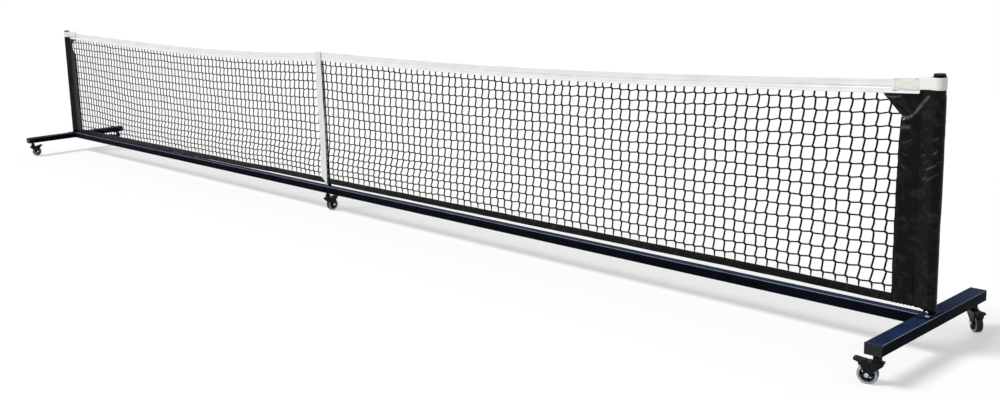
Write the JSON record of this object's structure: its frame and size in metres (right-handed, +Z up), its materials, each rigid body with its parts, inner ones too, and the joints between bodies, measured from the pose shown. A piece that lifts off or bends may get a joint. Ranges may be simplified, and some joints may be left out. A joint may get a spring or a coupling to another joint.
{
  "type": "portable pickleball net",
  "caption": "Wheeled free-standing court net with round end posts on cross feet, a floor rail, a white headband and braked swivel casters.",
  "frame": {"origin": "on the floor under the middle of the net, at the swivel axis of the centre caster", "axes": "+X along the net to its right end as seen from the front, +Y from the front to the rear, +Z up"},
  "size_m": [6.695, 0.768, 0.931],
  "materials": {
    "frame_paint": "black powder coat, satin",
    "bright_steel": "zinc plated",
    "moulded_black": "moulded black plastic",
    "fork_paint": "black painted pressed steel",
    "tread": "pale grey moulded tread",
    "white_vinyl": "white vinyl-coated cloth",
    "white_webbing": "white woven webbing",
    "black_vinyl": "black vinyl-coated cloth",
    "net_cord": "black knotted cord"
  },
  "bodies": {
    "frame": {"left_foot": "frame_paint", "right_foot": "frame_paint", "foot_end_caps": "moulded_black", "left_rail": "frame_paint", "centre_rail": "frame_paint", "right_rail": "frame_paint", "rail_joiner": "frame_paint", "post_bases": "frame_paint", "bolt_heads": "bright_steel", "left_post": "frame_paint", "right_post": "frame_paint", "post_caps": "moulded_black", "left_sleeve": "black_vinyl", "right_sleeve": "black_vinyl", "headband": "white_vinyl", "top_cord": "net_cord", "net": "net_cord", "bottom_tape": "black_vinyl", "end_straps": "white_webbing", "centre_strap": "white_webbing", "strap_hook": "frame_paint", "centre_pole": "frame_paint", "caster_stems": "fork_paint"},
    "right_front_swivel": {"right_front_fork": "fork_paint", "right_front_axle_ends": "bright_steel"},
    "right_front_wheel": {"right_front_hub": "moulded_black", "right_front_tread": "tread"},
    "right_front_brake": {"right_front_pedal": "moulded_black"},
    "right_rear_swivel": {"right_rear_fork": "fork_paint", "right_rear_axle_ends": "bright_steel"},
    "right_rear_wheel": {"right_rear_hub": "moulded_black", "right_rear_tread": "tread"},
    "right_rear_brake": {"right_rear_pedal": "moulded_black"},
    "left_front_swivel": {"left_front_fork": "fork_paint", "left_front_axle_ends": "bright_steel"},
    "left_front_wheel": {"left_front_hub": "moulded_black", "left_front_tread": "tread"},
    "left_front_brake": {"left_front_pedal": "moulded_black"},
    "left_rear_swivel": {"left_rear_fork": "fork_paint", "left_rear_axle_ends": "bright_steel"},
    "left_rear_wheel": {"left_rear_hub": "moulded_black", "left_rear_tread": "tread"},
    "left_rear_brake": {"left_rear_pedal": "moulded_black"},
    "centre_swivel": {"centre_fork": "fork_paint", "centre_axle_ends": "bright_steel"},
    "centre_wheel": {"centre_hub": "moulded_black", "centre_tread": "tread"},
    "centre_brake": {"centre_pedal": "moulded_black"}
  },
  "joints": [
    {"name": "right_front_swivel_turn", "type": "hinge", "parent": "frame", "child": "right_front_swivel", "pos_m": [3.295, -0.349, 0.09], "axis": [0, 0, 1], "continuous": true},
    {"name": "right_front_wheel_roll", "type": "hinge", "parent": "right_front_swivel", "child": "right_front_wheel", "pos_m": [3.26892, -0.35599, 0.03175], "axis": [0.2588, -0.9659, 0], "continuous": true},
    {"name": "right_front_brake_press", "type": "hinge", "parent": "right_front_swivel", "child": "right_front_brake", "pos_m": [3.2554, -0.35961, 0.068], "axis": [0.2588, -0.9659, 0], "range_deg": [0, 15]},
    {"name": "right_rear_swivel_turn", "type": "hinge", "parent": "frame", "child": "right_rear_swivel", "pos_m": [3.295, 0.349, 0.09], "axis": [0, 0, 1], "continuous": true},
    {"name": "right_rear_wheel_roll", "type": "hinge", "parent": "right_rear_swivel", "child": "right_rear_wheel", "pos_m": [3.31409, 0.32991, 0.03175], "axis": [0.7071, 0.7071, 0], "continuous": true},
    {"name": "right_rear_brake_press", "type": "hinge", "parent": "right_rear_swivel", "child": "right_rear_brake", "pos_m": [3.32399, 0.32001, 0.068], "axis": [0.7071, 0.7071, 0], "range_deg": [0, 15]},
    {"name": "left_front_swivel_turn", "type": "hinge", "parent": "frame", "child": "left_front_swivel", "pos_m": [-3.295, -0.349, 0.09], "axis": [0, 0, 1], "continuous": true},
    {"name": "left_front_wheel_roll", "type": "hinge", "parent": "left_front_swivel", "child": "left_front_wheel", "pos_m": [-3.295, -0.322, 0.03175], "axis": [-1, 0, 0], "continuous": true},
    {"name": "left_front_brake_press", "type": "hinge", "parent": "left_front_swivel", "child": "left_front_brake", "pos_m": [-3.295, -0.308, 0.068], "axis": [-1, 0, 0], "range_deg": [0, 15]},
    {"name": "left_rear_swivel_turn", "type": "hinge", "parent": "frame", "child": "left_rear_swivel", "pos_m": [-3.295, 0.349, 0.09], "axis": [0, 0, 1], "continuous": true},
    {"name": "left_rear_wheel_roll", "type": "hinge", "parent": "left_rear_swivel", "child": "left_rear_wheel", "pos_m": [-3.3085, 0.32562, 0.03175], "axis": [0.866, -0.5, 0], "continuous": true},
    {"name": "left_rear_brake_press", "type": "hinge", "parent": "left_rear_swivel", "child": "left_rear_brake", "pos_m": [-3.3155, 0.31349, 0.068], "axis": [0.866, -0.5, 0], "range_deg": [0, 15]},
    {"name": "centre_swivel_turn", "type": "hinge", "parent": "frame", "child": "centre_swivel", "pos_m": [0, 0, 0.09], "axis": [0, 0, 1], "continuous": true},
    {"name": "centre_wheel_roll", "type": "hinge", "parent": "centre_swivel", "child": "centre_wheel", "pos_m": [0, 0.027, 0.03175], "axis": [-1, 0, 0], "continuous": true},
    {"name": "centre_brake_press", "type": "hinge", "parent": "centre_swivel", "child": "centre_brake", "pos_m": [0, 0.041, 0.068], "axis": [-1, 0, 0], "range_deg": [0, 15]}
  ]
}
